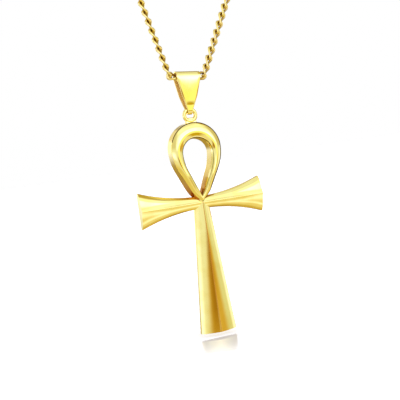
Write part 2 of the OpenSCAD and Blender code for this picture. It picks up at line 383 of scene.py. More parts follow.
def ridged_bar(name, sizes, start, end, cells, pinch, shoulder_w, half_width, ridge):
    """A bar along X with its depth along Z: a crest, two flanks, rounded shoulders and a flat back."""
    flank_rows, shoulder_rows = 7, 6
    edge_round, crest_round = 0.12 * MM, 0.07 * MM
    # A shoulder's largest share of half the bar's width
    shoulder_most = 0.55
    flank = [k / flank_rows for k in range(1, flank_rows + 1)]
    shoulder = [k / shoulder_rows for k in range(1, shoulder_rows + 1)]
    # The shoulder starts about as steep as its flank ends
    ease = 0.55 - 0.4 * pinch
    # Across and height of each row on one side, from 1 at the crest to 0 at the shoulder and -1 at the edge
    side = [(u, 1 - u * (1 + pinch * (1 - u))) for u in flank]
    side += [(a, -a * (ease + (1 - ease) * a)) for a in shoulder]
    rows = [(-across, height) for across, height in reversed(side)] + [(0, 1)] + side
    bpy.ops.mesh.primitive_grid_add(x_subdivisions=cells, y_subdivisions=len(rows) - 1, size=2)
    bar = named(name)
    count, crest = cells + 1, len(side)

    def pick_rows(i, wanted):
        """Selects the rows of one column whose number, counted from the crest, is wanted."""
        pick(bar, "verts", lambda v: v.index % count == i and wanted(v.index // count - crest))

    def by_side(edge):
        return max(v.co.z for v in edge.verts) < 1.01 * sizes.edge_t

    def on_crest(edge):
        return all(abs(v.co.y) < 0.001 * MM and v.co.z > sizes.edge_t for v in edge.verts)

    with shaping(bar):
        for k, (across, height) in enumerate(rows):
            pick(bar, "verts", lambda v: v.index // count == k)
            bpy.ops.transform.translate(value=(0, across + 1 - 2 * k / (len(rows) - 1), height))
        for i in range(cells + 1):
            here = -1 + 2 * i / cells
            x = start + (end - start) * i / cells
            width, top = half_width(x), ridge(x)
            round_w = min(shoulder_w, shoulder_most * width)
            fall = sizes.flank_fall * (top - sizes.edge_t) / width * (width - round_w)
            drop = top - fall - sizes.edge_t
            pick_rows(i, lambda row: abs(row) <= flank_rows)
            bpy.ops.transform.resize(value=(1, width - round_w, fall), center_override=(here, 0, 0))
            for hand in (-1, 1):
                pick_rows(i, lambda row: hand * row > flank_rows)
                bpy.ops.transform.resize(value=(1, round_w, drop), center_override=(here, 0, 0))
                bpy.ops.transform.translate(value=(0, hand * (width - round_w), 0))
            pick_rows(i, lambda row: True)
            bpy.ops.transform.translate(value=(x - here, 0, top - fall))
        bpy.ops.mesh.select_all(action="SELECT")
        bpy.ops.mesh.extrude_region_move()
        bpy.ops.transform.resize(value=(1, 1, 0), center_override=(0, 0, 0))
    smooth(bar, math.radians(30))
    softened(bar, edge_round, 3, math.radians(35), by_side)
    with shaping(bar, "EDGE"):
        pick(bar, "edges", on_crest)
        bpy.ops.mesh.bevel(offset=crest_round, segments=2, affect="EDGES", clamp_overlap=True)
    return bar


def arms(sizes):
    """Both arms, flaring along wide arcs from the crossing to their tips."""
    length = sizes.arm_span / 2
    flare = (sizes.arm_tip_h - sizes.arm_waist_h) / 2
    flare_r = (length**2 + flare**2) / (2 * flare)
    bar = ridged_bar(
        "arms",
        sizes,
        start=-length,
        end=length,
        cells=48,
        pinch=sizes.arm_pinch,
        shoulder_w=sizes.arm_shoulder,
        half_width=lambda x: sizes.arm_waist_h / 2 + flare_r - math.sqrt(flare_r**2 - x**2),
        ridge=lambda x: sizes.crossing_t + (sizes.arm_tip_t - sizes.crossing_t) * abs(x) / length,
    )

    def on_edge(face):
        return face.calc_center_median().z < sizes.edge_t and face.normal.x > -0.6

    # The sides by the edges take the walls' metal and its painted shade, and the bevels along the edges are
    # painted dark as shade lines
    paint(bar, WALL, lambda face: on_edge(face) and abs(face.normal.z) < 0.8 and face.normal.x < 0.6)
    paint(bar, SHADE_LINE, lambda face: on_edge(face) and 0.1 < face.normal.z < 0.76)
    return bar


def shaft(sizes):
    """The shaft, which widens evenly down to its foot."""
    taper = (sizes.foot_w - sizes.shaft_neck_w) / 2 / sizes.shaft_len
    rise = (sizes.foot_t - sizes.crossing_t) / sizes.shaft_len
    overlap, crest_half = 0.8 * MM, 0.08 * MM
    bar = ridged_bar(
        "shaft",
        sizes,
        start=-overlap,
        end=sizes.shaft_len - INSET,
        cells=44,
        pinch=-sizes.shaft_round,
        shoulder_w=sizes.shaft_shoulder,
        half_width=lambda x: sizes.shaft_neck_w / 2 + taper * x,
        ridge=lambda x: sizes.crossing_t + rise * x,
    )

    def on_crest(face):
        middle = face.calc_center_median()
        return middle.z > sizes.edge_t and abs(middle.y) < crest_half

    # The crest is painted in the walls' redder metal, as a painted reflection line
    paint(bar, WALL, on_crest)
    return put(bar, (0, 0, 0), [(math.radians(-90), "Z")])


def half_outline(half_w, top, side_r, lean, foot, foot_steps, side_steps=10, crown_steps=18):
    """Right half of the loop's outline, foot to top: a strand, a wide arc and a quarter circle."""
    points = []
    for i in range(side_steps):
        a = lean * (1 - i / side_steps)
        points.append(Vector((half_w - side_r * (1 - math.cos(a)), top - half_w - side_r * math.sin(a))))
    for i in range(crown_steps + 1):
        a = math.radians(90) * i / crown_steps
        points.append(Vector((half_w * math.cos(a), top - half_w + half_w * math.sin(a))))
    start = foot(points[0])
    strand = [start.lerp(points[0], i / foot_steps) for i in range(foot_steps)]
    return strand + points


def loop_section(sizes):
    """Rows of the loop's section, with across from 0 outside to 1 at the hole, and the walls' feet beyond."""
    back = 0.05 * MM
    groove_w, groove_d = 0.06, 0.1 * MM
    line_w, line_d = 0.05, 0.08 * MM
    rim_start, rim_drop = 0.93, 0.45 * MM
    crown_rows = 14
    rows = [(-0.05, back), (0, sizes.crease_t), (groove_w / 2, sizes.crease_t - groove_d)]
    arch = sizes.crown_t - (sizes.crease_t + sizes.rim_t) / 2
    for k in range(crown_rows + 1):
        u = k / crown_rows
        base = sizes.crease_t + (sizes.rim_t - sizes.crease_t) * u
        rows.append((groove_w + (rim_start - groove_w) * u, base + arch * math.sin(math.pi * u)))
    rows += [(rim_start + line_w / 2, sizes.rim_t - line_d), (rim_start + line_w, sizes.rim_t)]
    return rows + [(1, sizes.rim_t - rim_drop), (1.02, back)]


def spread_foot(band, outer, hole, last_row):
    """Spreads the back of both walls where the strands run down into the arms."""
    walls = [
        # row, outline, height below which it spreads, height it grows over, least offset from the middle,
        # and how far out it goes, in mm
        (0, outer, 12, 8, 1.5, 0.45),
        (last_row, hole, 15, 5, 0.3, -0.28),
    ]
    with shaping(band):
        for row, outline, start, growth, inmost, most in walls:
            for i, point in enumerate(outline):
                out = (outer[i] - hole[i]).normalized()
                reach = share_of(start * MM - point.y, growth * MM)
                if reach > 0 and abs(point.x) > inmost * MM:
                    pick(band, "verts", lambda v: v.index == row * len(outline) + i)
                    bpy.ops.transform.translate(value=(*(out * most * MM * reach), 0))


def loop(sizes):
    """The teardrop loop, whose strands narrow and curl in over the crossing."""
    curl_steps, strand_steps = 8, 10
    outer_lean, hole_lean = math.radians(27.5), math.radians(24)
    outer_side_r, hole_side_r = 11.6 * MM, 10.9 * MM
    strand_foot, shoulder_h = 2.9 * MM, 16.3 * MM
    # Low down the strands lose some of their depth
    root_top, root_h, root_loss = 7 * MM, 6 * MM, 0.2
    # The rim is wide along the right strand alone, and runs out towards the crossing and the top
    rim_share, rim_grow, rim_end, rim_fade = 0.15, 4, 0.3 * MM, 5 * MM
    root = Vector((0, 0.25 * MM))
    curl_pull = Vector((1.35 * MM, 1.4 * MM))

    def outer_foot(head):
        return head - (head.y - strand_foot) * Vector((math.tan(outer_lean), 1))

    def hole_foot(head):
        return Vector((0, head.y - head.x / math.tan(hole_lean)))

    outer = half_outline(sizes.loop_w / 2, sizes.loop_top, outer_side_r, outer_lean, outer_foot, strand_steps)
    steps = curl_steps + strand_steps
    hole = half_outline(sizes.hole_w / 2, sizes.hole_top, hole_side_r, hole_lean, hole_foot, steps)
    curl = []
    for i in range(curl_steps):
        t = i / curl_steps
        curl.append(root.lerp(curl_pull, t).lerp(curl_pull.lerp(outer[0], t), t))
    outer = curl + outer
    # Up the right strand to the top, then down the left one
    outer += [Vector((-point.x, point.y)) for point in outer[-2::-1]]
    hole += [Vector((-point.x, point.y)) for point in hole[-2::-1]]
    columns = []
    for i, (near, far) in enumerate(zip(outer, hole)):
        across = far - near
        depth = 1 - root_loss * share_of(root_top - near.y, root_h)
        rim = 0
        if far.x > 0:
            rim = rim_share * min(i / rim_grow, share_of(sizes.hole_top - rim_end - far.y, rim_fade))
        columns.append((near, math.atan2(-across.x, across.y), across.length, depth, rim))
    rows = loop_section(sizes)
    band = sheet("loop", rows, columns, rim_rows=2)
    count, last = len(columns), len(rows) - 1
    spread_foot(band, outer, hole, last)

    def rows_of(face):
        return min(v.index // count for v in face.verts)

    def on_lower_left(face):
        return all(v.index % count > count / 2 and v.co.y < shoulder_h for v in face.verts)

    def outside_grooves(edge):
        return all(face.material_index != SHADE_LINE for face in edge.link_faces)

    # The walls take the walls' metal and its painted shade, and the grooves are painted dark as shade, but for
    # the outer one along the lower left
    paint(band, WALL, lambda face: rows_of(face) in (0, last - 1))
    paint(band, SHADE_LINE, lambda face: rows_of(face) in (1, 2) and not on_lower_left(face))
    paint(band, SHADE_LINE, lambda face: rows_of(face) in (last - 4, last - 3))
    with shaping(band):
        bpy.ops.mesh.select_all(action="SELECT")
        bpy.ops.mesh.remove_doubles(threshold=0.002 * MM)
    with shaping(band, "EDGE"):
        pick(band, "edges", lambda edge: edge.is_boundary)
        bpy.ops.mesh.bridge_edge_loops()
    smooth(band, math.radians(30))
    # The back is polished
    paint(band, POLISHED, lambda face: face.normal.z < -0.8)
    # The edges of the two grooves stay crisp
    return softened(band, 0.06 * MM, 2, math.radians(28), outside_grooves)


def eye(sizes):
    """The ring on top of the loop, with the solder that joins it."""
    wire_r = sizes.eye_wire / 2
    ring_r = sizes.eye_d / 2 - wire_r
    ring_rise, solder_rise, depth = 1.9 * MM, 0.2 * MM, 1.2 * MM
    ring = wire_ring("eye", ring_r, wire_r, steps=64, wire_steps=20)
    put(ring, (0, sizes.loop_top + ring_rise, depth))
    solder = block("solder", (3.5 * MM, 2.1 * MM, 0.8 * MM))
    # The solder is smaller where it meets the ring
    with shaping(solder, "FACE"):
        pick(solder, "faces", lambda face: face.normal.y > 0.9)
        bpy.ops.transform.resize(value=(0.7, 1, 0.8))
    softened(solder, 0.28 * MM, 4, math.radians(30))
    put(solder, (0, sizes.loop_top + solder_rise, depth))
    return [ring, solder]


def ankh_crossing(sizes):
    """The point on the ankh's back where its arms cross its shaft."""
    return Vector(((ankh_low.x + ankh_high.x) / 2, ankh_high.y, ankh_low.z + sizes.shaft_len))


def ankh(sizes):
    """The whole casting, in its place."""
    body = fused("ankh", [arms(sizes), shaft(sizes), loop(sizes), *eye(sizes)])
    put(body, ankh_crossing(sizes), [(math.radians(90), "X")])
    return smooth(body, math.radians(24))


# Bail

# Height above the middle of the ring's wire where the strip bends from its fold into its leaves
BEND_H = 0.95 * MM

# Height above the middle of the ring's wire and half the strip's width there, in mm
BAIL_WIDTHS = [
    (-1.4, 0.6), (-0.3, 0.66), (0.3, 0.85),
    (0.8, 1.12), (2, 1.55), (3.2, 2),
    (5.7, 2.6), (8, 3.17), (9.7, 3.25),
]


def bail_outline(sizes):
    """The strip's way round, in side view, as (depth, height) from the middle of the ring's wire."""
    fold_steps, leaf_steps, barrel_steps = 8, 12, 20
    fold_r, barrel_r = sizes.fold_d / 2, sizes.barrel_d / 2
    bend_r, bend_len, bend_in = fold_r + 0.17 * MM, 0.12 * MM, 0.01 * MM
    way = []
    for i in range(fold_steps):
        a = math.radians(-90 + 90 * i / fold_steps)
        way.append((fold_r * math.cos(a), fold_r * math.sin(a) - sizes.slack))
    way += [(fold_r, -sizes.slack), (bend_r - bend_in, BEND_H - bend_len), (bend_r, BEND_H)]
    # The first short step keeps the bend crisp
    for t in (0.02, *(i / leaf_steps for i in range(1, leaf_steps + 1))):
        way.append((bend_r + (barrel_r - bend_r) * (1 - (1 - t) ** 2), BEND_H + (bail_reach - BEND_H) * t))
    for i in range(1, barrel_steps):
        a = math.radians(90 * i / barrel_steps)
        way.append((barrel_r * math.cos(a), bail_reach + barrel_r * math.sin(a)))
    back = [(-depth, height) for depth, height in way[:0:-1]]
    return way + [(0, bail_reach + barrel_r)] + back


def bail_half_width(height):
    """Half the strip's width at a height, on straight lines between the listed ones."""
    for (low, low_w), (high, high_w) in zip(BAIL_WIDTHS, BAIL_WIDTHS[1:]):
        if height <= high * MM:
            return MM * (low_w + (high_w - low_w) * (height / MM - low) / (high - low))
    return MM * BAIL_WIDTHS[-1][1]


def bail(sizes):
    """The folded strip: rolled at the top, open at the sides, tapered to the fold through the ankh's ring."""
    across_cells = 8
    # Brings t * (1 - t) ** 3 to 1 where it is highest, at t of a quarter
    bow_scale = 9.5
    way = bail_outline(sizes)
    bpy.ops.mesh.primitive_grid_add(x_subdivisions=across_cells, y_subdivisions=len(way) - 1, size=2)
    strip = named("bail_strip")
    count = across_cells + 1

    def at_open_end(edge):
        return edge.is_boundary and all(v.index // count in (0, len(way) - 1) for v in edge.verts)

    with shaping(strip):
        for k, (depth, height) in enumerate(way):
            pick(strip, "verts", lambda v: v.index // count == k)
            move = (0, -depth - corner(strip, k * count).y, height)
            bpy.ops.transform.resize(value=(bail_half_width(height), 1, 1), center_override=(0, 0, 0))
            bpy.ops.transform.translate(value=move)
            # The front leaf is a little bowed, the most a quarter of the way up
            t = (height - BEND_H) / (bail_reach - BEND_H)
            if depth > 0 and 0 < t < 1:
                for i in range(1, across_cells):
                    pick(strip, "verts", lambda v: v.index == k * count + i)
                    out = sizes.bow * bow_scale * t * (1 - t) ** 3 * (1 - (2 * i / across_cells - 1) ** 2)
                    bpy.ops.transform.translate(value=(0, -out, 0))
        pick(strip, "edges", at_open_end)
        bpy.ops.mesh.bridge_edge_loops()
    smooth(strip, math.radians(60))
    for _ in (POLISHED, LINING):
        strip.data.materials.append(None)
    apply(strip, "SOLIDIFY", thickness=sizes.strip_t, offset=-1, use_even_offset=True, material_offset=LINING)
    softened(strip, 0.08 * MM, 2, math.radians(60))
    put(strip, hinge_place, [(bail_lean, "Y")])
    return smooth(strip, math.radians(35))


# Chain

# Length of each straight strand, and the points that the chain passes from its end to the nape, in metres
LEFT_STRAIGHT = 60 * MM
RIGHT_STRAIGHT = 62 * MM
LEFT_ROUTE = [
    (-0.0375, -0.115, -0.0565), (-0.0405, -0.111, -0.0455), (-0.0435, -0.1045, -0.0355),
    (-0.046, -0.0955, -0.028), (-0.049, -0.085, -0.023), (-0.052, -0.074, -0.02),
    (-0.0543, -0.0625, -0.0165), (-0.0553, -0.051, -0.0135), (-0.0533, -0.0395, -0.0105),
    (-0.049, -0.0285, -0.0075), (-0.0425, -0.019, -0.005), (-0.0335, -0.011, -0.003),
    (-0.022, -0.0045, -0.001),
]
RIGHT_ROUTE = [
    (0.0215, -0.1155, -0.061), (0.0265, -0.113, -0.0505), (0.032, -0.1085, -0.041),
    (0.037, -0.1015, -0.0325), (0.0425, -0.093, -0.0265), (0.048, -0.083, -0.022),
    (0.053, -0.0725, -0.0195), (0.0553, -0.061, -0.0165), (0.0558, -0.0495, -0.0135),
    (0.054, -0.038, -0.01), (0.049, -0.0275, -0.0075), (0.0425, -0.018, -0.005),
    (0.0335, -0.01, -0.0025), (0.022, -0.0035, -0.001),
]


def heading(angle):
    """A direction in the bail's upright plane, from an angle above the right."""
    return Vector((math.cos(angle), 0, math.sin(angle)))


def smoothed(points):
    """The points with one more halfway along each span, on a smooth curve."""
    fuller = []
    for i, here in enumerate(points[:-1]):
        before, after = points[max(i - 1, 0)], points[min(i + 2, len(points) - 1)]
        fuller += [here, (9 * (here + points[i + 1]) - before - after) / 16]
    return fuller + [points[-1]]


def half_way(start, end, straight, route, last):
    """Points along half of the chain: out of the barrel, round its mouth, up the strand, to the nape."""
    mouth, turn_r, turn_steps = 3.6 * MM, 1.2 * MM, 12
    side = math.copysign(1, end - start)
    mouth_end = barrel_place + mouth * heading(start)
    middle = mouth_end + turn_r * side * heading(start + math.radians(90))
    bend = []
    for i in range(1, turn_steps + 1):
        a = start + (end - start) * i / turn_steps
        bend.append(middle - turn_r * side * heading(a + math.radians(90)))
    strand_end = bend[-1] + straight * heading(end)
    return [barrel_place, mouth_end, *bend, *smoothed([strand_end] + [Vector(p) for p in route] + [last])]


def paced(way, reach):
    """Points on the way, each a straight reach from the one before, from the way's start to near its end."""
    halvings = 30
    found, here, i = [way[0]], way[0], 0
    while i < len(way) - 1:
        if (way[i + 1] - here).length < reach:
            i += 1
            continue
        low, high = 0.0, 1.0
        a, b = (way[i] if (way[i] - here).length < reach else here), way[i + 1]
        for _ in range(halvings):
            mid = (low + high) / 2
            if (a.lerp(b, mid) - here).length < reach:
                low = mid
            else:
                high = mid
        here = a.lerp(b, low)
        found.append(here)
    return found


def pivots(way, pitch):
    """Points about a pitch apart where the links hang in each other, the last one at the way's end."""
    length = sum((b - a).length for a, b in zip(way, way[1:]))
    count = round(length / pitch)
    low, high = 0.9 * length / count, length / count
    halvings = 24
    for _ in range(halvings):
        reach = (low + high) / 2
        if len(paced(way, reach)) > count:
            low = reach
        else:
            high = reach
    return paced(way, low)[: count + 1]


def link(sizes):
    """One curb link: an oval of round wire, twisted from end to end."""
    play = 0.02 * MM
    round_r = (sizes.link_w - sizes.wire) / 2
    half_reach = (sizes.pitch + sizes.wire) / 2 + play
    oval = wire_ring("link", round_r, sizes.wire / 2, steps=16, wire_steps=6)
    with shaping(oval):
        for side in (-1, 1):
            pick(oval, "verts", lambda v: v.co.x * side > 0)
            bpy.ops.transform.translate(value=(side * (half_reach - round_r), 0, 0))
    return apply(oval, "SIMPLE_DEFORM", deform_method="TWIST", deform_axis="X", angle=sizes.link_twist)


def standing(place, right, back, up):
    """The matrix that puts an object at a place with its axes along three directions."""
    return Matrix.Translation(place) @ Matrix((right, back, up)).transposed().to_4x4()


def half_chain(name, sizes, way, roll):
    """Half of the chain as one mesh of interlocking links, each turned about the chain by its roll."""
    model = link(sizes)
    points = pivots(way, sizes.pitch)
    normal = Vector((0, 1, 0))
    links = []
    for i, (near, far) in enumerate(zip(points, points[1:])):
        along = (far - near).normalized()
        normal = (normal - normal.dot(along) * along).normalized()
        turned = Matrix.Rotation(roll(i, len(points) - 1), 3, along) @ normal
        only(model)
        bpy.ops.object.duplicate()
        copy = bpy.context.object
        copy.matrix_world = standing((near + far) / 2, along, turned.cross(along), turned)
        links.append(copy)
    bpy.data.objects.remove(model)
    chain = joined(name, links)
    only(chain)
    bpy.ops.object.transform_apply(location=True, rotation=True, scale=True)
    return smooth(chain, math.radians(80))


# Clasp and end rings


def end_ring(side, sizes):
    """A closed ring, a little thicker where its ends are soldered together."""
    low, high = ring_boxes[side]
    middle = (low + high) / 2
    wire_r = sizes.ring_wire / 2
    ring_r = (high.x - low.x) / 2 - wire_r - INSET
    # The wire's share of the solid's, how much thicker it is at the solder, and half the solder's length
    thin, thick, solder_half = 0.94, 1.06, 0.3 * MM
    ring = wire_ring(f"end_ring_{side}_wire", ring_r, wire_r * thin, steps=40, wire_steps=12)
    with shaping(ring):
        pick(ring, "verts", lambda v: abs(v.co.x) < solder_half and v.co.y > 0)
        bpy.ops.transform.resize(value=(1, thick, thick), center_override=(0, ring_r, 0))
    return smooth(put(ring, middle), math.radians(40))


def disc(name, place, radius, thick, segments=40):
    """A disc across the clasp, in its upright plane."""
    bpy.ops.mesh.primitive_cylinder_add(vertices=segments, radius=radius, depth=thick)
    return put(named(name), place, [(math.radians(90), "X")])


def cut(body, tool):
    """Takes one solid out of another."""
    apply(body, "BOOLEAN", operation="DIFFERENCE", solver="EXACT", object=tool)
    bpy.data.objects.remove(tool)
    return body


def clasp(sizes):
    """A flat spring clasp: a gated claw on the right, a tapered body, and a small eye on the left."""
    claw_r = (clasp_high.z - clasp_low.z) / 2 - INSET
    tail_r, tail_hole_r, claw_hole_r = 1.5 * MM, 0.8 * MM, 1.45 * MM
    tail_x, claw_x = clasp_low.x + tail_r, clasp_high.x - claw_r - INSET
    tail_half, hole_depth = 1.1 * MM, 4 * MM
    body_start = tail_x + 1.6 * MM
    length = claw_x - body_start
    # The gate's pin, left of the claw's middle and a little above it
    pin_r, pin_left, pin_up = 0.42 * MM, 2.6 * MM, 0.1 * MM
    pin_t = sizes.clasp_t - 2 * INSET
    claw = disc("clasp_claw", (claw_x, 0, 0), claw_r, sizes.clasp_t, segments=56)
    tail = disc("clasp_tail", (tail_x, 0, 0), tail_r, sizes.tail_t)
    body = block("clasp_body", (length, sizes.clasp_t, 2 * tail_half), (body_start + length / 2, 0, 0))
    with shaping(body):
        pick(body, "verts", lambda v: v.co.x > 0)
        bpy.ops.transform.resize(value=(1, 1, claw_r / tail_half), center_override=(0, 0, 0))
    neck = block("clasp_neck", (2.4 * MM, sizes.tail_t, 2 * MM), (tail_x + tail_r, 0, 0))
    whole = fused("clasp_shell", [claw, body, neck, tail])
    cut(whole, disc("tail_hole", (tail_x, 0, 0), tail_hole_r, hole_depth))
    cut(whole, disc("claw_hole", (claw_x, 0, 0), claw_hole_r, hole_depth))
    smooth(whole, math.radians(30))
    softened(whole, 0.22 * MM, 3, math.radians(50))
    # The gate's gaps, in degrees round the claw: one at its tip, one over the gate's pivot
    for angle in (20, 118):
        gap = block("gate_gap", (2 * MM, 0.9 * MM, 0.16 * MM), (2.1 * MM, -0.75 * MM, 0))
        cut(whole, put(gap, (claw_x, 0, 0), [(math.radians(-angle), "Y")]))
    pin = disc("clasp_pin", (claw_x - pin_left, 0, pin_up), pin_r, pin_t, segments=24)
    return smooth(fused("clasp_shell", [whole, pin]), math.radians(28))


# Shader maths


class Value:
    """A shader socket that Python's operators turn into Math nodes."""

    def __init__(self, tree, socket):
        self.tree, self.socket = tree, socket

    def maths(self, operation, *others):
        return node(self.tree, "ShaderNodeMath", {"operation": operation}, [self, *others])

    def reflected(self, operation, other):
        return node(self.tree, "ShaderNodeMath", {"operation": operation}, [other, self])

    def __add__(self, other):
        return self.maths("ADD", other)

    def __sub__(self, other):
        return self.maths("SUBTRACT", other)

    def __mul__(self, other):
        return self.maths("MULTIPLY", other)

    def __radd__(self, other):
        return self.reflected("ADD", other)

    def __rsub__(self, other):
        return self.reflected("SUBTRACT", other)

    def __rmul__(self, other):
        return self.reflected("MULTIPLY", other)

    def __neg__(self):
        return self.maths("MULTIPLY", -1)

    def ramp(self, low, high):
        """A smooth step from 0 at low to 1 at high."""
        settings = {"interpolation_type": "SMOOTHSTEP"}
        values = {"Value": self, "From Min": low, "From Max": high}
        return node(self.tree, "ShaderNodeMapRange", settings, values)


def node(tree, kind, settings, values, output=0):
    """Adds a node: its settings first, then the values and links of its sockets. Gives one of its outputs."""
    made = tree.nodes.new(kind)
    for key, value in settings.items():
        setattr(made, key, value)
    for key, value in values.items() if isinstance(values, dict) else enumerate(values):
        if isinstance(value, Value):
            value = value.socket
        if isinstance(value, bpy.types.NodeSocket):
            tree.links.new(value, made.inputs[key])
        else:
            made.inputs[key].default_value = value
    return Value(tree, made.outputs[output])


def mixed(tree, factor, first, second):
    """A colour between two, by a factor."""
    settings = {"data_type": "RGBA", "blend_type": "MIX"}
    return node(tree, "ShaderNodeMix", settings, {0: factor, 6: first, 7: second}, output=2)


# Ways to tell the place that is shaded: by its direction, on the wire's own map, or on the piece
AROUND, ON_MAP, ON_PIECE = 0, 2, 3


def place_on(tree, way):
    """The place that is shaded, told in one of those ways."""
    return node(tree, "ShaderNodeTexCoord", {}, {}, output=way)


def parts(tree, vector):
    """The three parts of a vector."""
    split = tree.nodes.new("ShaderNodeSeparateXYZ")
    tree.links.new(vector.socket, split.inputs[0])
    return [Value(tree, part) for part in split.outputs]


def between(value, low, high, soft):
    """1 between two values and 0 beyond them, with soft edges."""
    return value.ramp(low - soft, low + soft) * (1 - value.ramp(high - soft, high + soft))


def noise(tree, place, scale, roughness):
    """Noise in a few octaves."""
    values = {"Vector": place, "Scale": scale, "Detail": 2, "Roughness": roughness}
    return node(tree, "ShaderNodeTexNoise", {}, values)


def new_material(name):
    """A material, its tree and the inputs of its shader."""
    material = bpy.data.materials.new(name)
    material.use_nodes = True
    tree = material.node_tree
    return material, tree, tree.nodes["Principled BSDF"].inputs


# Finishes


def gold_material(name, tint, deep, polish, lined):
    """Polished gold: cloudy in colour and polish, faintly wavy, with fine lines left by the wheel."""
    material, tree, inputs = new_material(name)
    inputs["Metallic"].default_value = 1
    place = place_on(tree, ON_PIECE)
    # Clouds of about 3 mm, and lines drawn out along the height
    cloud = noise(tree, place, scale=330, roughness=0.5)
    drawn = node(tree, "ShaderNodeVectorMath", {"operation": "MULTIPLY"}, [place, (9000, 9000, 420)])
    lines = noise(tree, drawn, scale=1, roughness=0.6)
    tone = mixed(tree, cloud.ramp(0.38, 0.68), (*tint, 1), (*deep, 1))
    roughness = polish + 0.03 * cloud.ramp(0.4, 0.75) + lined * lines.ramp(0.5, 0.8)
    wave = node(tree, "ShaderNodeBump", {}, {"Strength": 0.25, "Distance": 0.02 * MM, "Height": cloud})
    fine = {"Strength": 0.04, "Distance": 0.004 * MM, "Height": lines, "Normal": wave}
    relief = node(tree, "ShaderNodeBump", {}, fine)
    for key, value in (("Base Color", tone), ("Roughness", roughness), ("Normal", relief)):
        tree.links.new(value.socket, inputs[key])
    return material


def retint(material, change):
    """Passes a material's colour through a change, which is given the tree and the colour so far."""
    tree = material.node_tree
    base = tree.nodes["Principled BSDF"].inputs["Base Color"]
    tree.links.new(change(tree, Value(tree, base.links[0].from_socket)).socket, base)
    return material


def wall_gold(name, look):
    """The walls' metal: redder, with shade painted in that darkens it down towards the crossing."""
    # Heights on the ankh between which the painted shade clears
    dark_end, clear_start = ankh_low.z + 35 * MM, ankh_low.z + 43 * MM

    def shade_towards_crossing(tree, tone):
        _, _, height = parts(tree, place_on(tree, ON_PIECE))
        return mixed(tree, height.ramp(dark_end, clear_start), (*look.wall_shade_and_reflection, 1), tone)

    return retint(gold_material(name, look.wall, look.wall, look.wall_polish, lined=0.05), shade_towards_crossing)


def plain_gold(name, look):
    """The polished gold of the ankh, the bail and the clasp."""
    return gold_material(name, look.gold, look.gold_deep, look.polish, lined=0.03)


def crease_gold(name, look):
    """Dark gold for the shade painted in the ankh's creases and along its edges."""
    return gold_material(name, look.crease, look.crease, look.wall_polish, lined=0.05)


def lining(name, look):
    """The bail's satin inner side."""
    material = gold_material(name, look.lining, look.lining, polish=0.4, lined=0.1)
    material.node_tree.nodes["Principled BSDF"].inputs["Metallic"].default_value = 0.2
    return material


def link_gold(name, look):
    """The gold of the chain's wire, with shade painted on the inner side of each link, where some dark polish
    stays too.
    """

    def shade(tree, tone):
        _, round_wire, _ = parts(tree, place_on(tree, ON_MAP))
        inward = (round_wire - 0.5).maths("ABSOLUTE") * 2
        return mixed(tree, inward.ramp(0.35, 0.95), tone, (*look.wire_dark, 1))

    return retint(gold_material(name, look.wire_gold, look.gold_deep, look.wire_polish, lined=0.04), shade)


FINISHES = {
    "pendant_gold": plain_gold,
    "wall_gold": wall_gold,
    "crease_gold": crease_gold,
    "lining": lining,
    "link_gold": link_gold,
}


def metals(look, *names):
    """The materials of those names, each made when it is first asked for."""
    return [bpy.data.materials.get(name) or FINISHES[name](name, look) for name in names]


# Studio

# The light round the pendant, with azimuths from the front to the right, in degrees
CARDS = [
    # name, azimuth from and to, elevation from and to, soft across, soft up, colour
    ("ground", -400, 400, -100, -20, 10, 12, (0.98, 0.90, 0.72)),
    ("window", -14, 46, 5, 34, 16, 4, (2.1, 2.2, 3.5)),
    ("front glow", 6, 36, -12, 3, 8, 4, (1.35, 1.36, 0.76)),
    ("window sill", 6, 36, 4.1, 12, 8, 1.2, (2.2, 2.3, 4.2)),
    ("top light", -30, 60, 38, 50, 14, 5, (1.4, 1.5, 1.9)),
    ("left shade", -80, -28, 8, 52, 8, 5, (0.82, 0.82, 0.80)),
    ("right shade", 62, 104, 2, 50, 8, 4, (0.74, 0.70, 0.60)),
    ("upper right", 54, 130, 44, 60, 10, 5, (0.60, 0.46, 0.14)),
    ("ceiling", -400, 400, 78, 200, 10, 8, (0.62, 0.50, 0.20)),
    ("low light", -15, 100, -48, -36, 12, 6, (1.4, 1.4, 1.9)),
    ("table", -400, 400, -200, -70, 10, 8, (0.70, 0.52, 0.18)),
    ("low right", 74, 130, -80, -48, 8, 6, (0.62, 0.46, 0.24)),
    ("left low", -110, -34, -80, -24, 10, 6, (0.85, 0.75, 0.42)),
    ("left light", -112, -40, -10, -1, 12, 4, (1.6, 1.7, 3.0)),
    ("side light", -118, -84, 4, 42, 4, 6, (1.7, 1.8, 3.2)),
    ("right light", 76, 97, -12, -1, 10, 4, (1.4, 1.45, 2.3)),
    ("left board", -21, 2, -13, -4, 8, 2, (0.70, 0.46, 0.07)),
    ("right veil", 50, 70, -16, 0, 5, 3, (0.84, 0.88, 0.85)),
    ("right board", 36, 57, -15, -3, 6, 2, (0.76, 0.52, 0.14)),
    ("under glow", 13, 30, -28, -12, 4, 3, (0.66, 0.46, 0.02)),
    ("left screen", -15, 2, -10, -3, 7, 2, (0.42, 0.21, 0.02)),
    ("right screen", 38, 50, -8, -3, 6, 2, (0.60, 0.36, 0.07)),
    ("left flag", -146, -120, -70, 62, 5, 8, (0.72, 0.58, 0.28)),
    ("right flag", 112, 146, -70, 62, 5, 8, (0.34, 0.24, 0.07)),
    ("rear left", -400, -148, 8, 60, 5, 6, (0.92, 0.86, 0.62)),
    ("rear left low", -400, -148, -60, -8, 5, 6, (0.46, 0.34, 0.09)),
    ("rear right", 120, 200, 18, 60, 6, 6, (0.50, 0.44, 0.30)),
    ("back wall", 120, 200, -2, 16, 5, 3, (1.75, 1.72, 1.70)),
    ("back wall left", -200, -155, -2, 16, 5, 3, (1.75, 1.72, 1.70)),
    ("rear right low", 146, 200, -60, -2, 6, 4, (0.42, 0.30, 0.09)),
]


